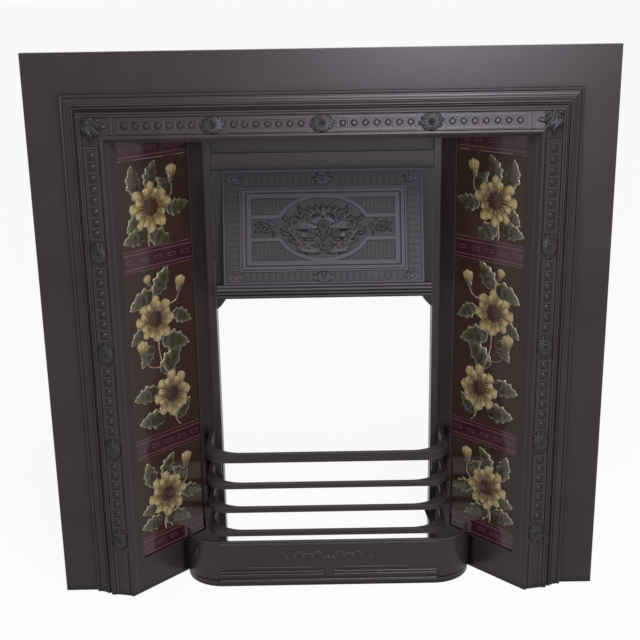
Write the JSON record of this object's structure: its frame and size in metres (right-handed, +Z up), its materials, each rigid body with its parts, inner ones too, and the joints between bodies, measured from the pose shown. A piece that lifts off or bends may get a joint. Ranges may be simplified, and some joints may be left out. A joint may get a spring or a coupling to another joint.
{
  "type": "cast iron fireplace",
  "caption": "Cast iron fireplace front with splayed glazed tile panels, a moulded hood over the fire opening, lift-off fire bars and a loose ash fret.",
  "frame": {"origin": "centre of the footprint on the hearth, half way between the crest of the front moulding and the back edge of the jamb flanges", "axes": "+X across to the right as seen from the room, +Y back into the chimney, +Z up"},
  "size_m": [0.965, 0.189, 0.965],
  "materials": {
    "blacked_iron": "satin black grate polish, rubbed brighter on the edges",
    "picture_glaze": "gloss coloured glaze over low relief",
    "border_glaze": "gloss deep maroon glaze",
    "fixing_steel": "dull dark steel"
  },
  "bodies": {
    "casting": {"surround_frame": "blacked_iron", "left_tile_frame": "blacked_iron", "right_tile_frame": "blacked_iron", "left_tile_1": "picture_glaze", "left_tile_2": "picture_glaze", "left_tile_3": "picture_glaze", "left_tile_4": "picture_glaze", "right_tile_1": "picture_glaze", "right_tile_2": "picture_glaze", "right_tile_3": "picture_glaze", "right_tile_4": "picture_glaze", "left_border_tile_1": "border_glaze", "left_border_tile_2": "border_glaze", "left_border_tile_3": "border_glaze", "left_border_tile_4": "border_glaze", "right_border_tile_1": "border_glaze", "right_border_tile_2": "border_glaze", "right_border_tile_3": "border_glaze", "right_border_tile_4": "border_glaze", "left_jamb": "blacked_iron", "right_jamb": "blacked_iron", "lintel": "blacked_iron", "left_tile_straps": "fixing_steel", "right_tile_straps": "fixing_steel", "strap_screws": "fixing_steel", "frame_bolts": "fixing_steel", "jamb_studs": "fixing_steel", "jamb_nuts": "fixing_steel"},
    "hood": {"hood": "blacked_iron"},
    "bars": {"fire_bars": "blacked_iron"},
    "fret": {"ash_fret": "blacked_iron"}
  },
  "joints": [
    {"name": "hood_lift", "type": "slide", "parent": "casting", "child": "hood", "axis": [0, 0, 1], "range_m": [0, 0.014]},
    {"name": "bars_lift", "type": "slide", "parent": "casting", "child": "bars", "axis": [0, 0, 1], "range_m": [0, 0.15]},
    {"name": "fret_pull", "type": "slide", "parent": "casting", "child": "fret", "axis": [0, -1, 0], "range_m": [0, 0.2]}
  ]
}
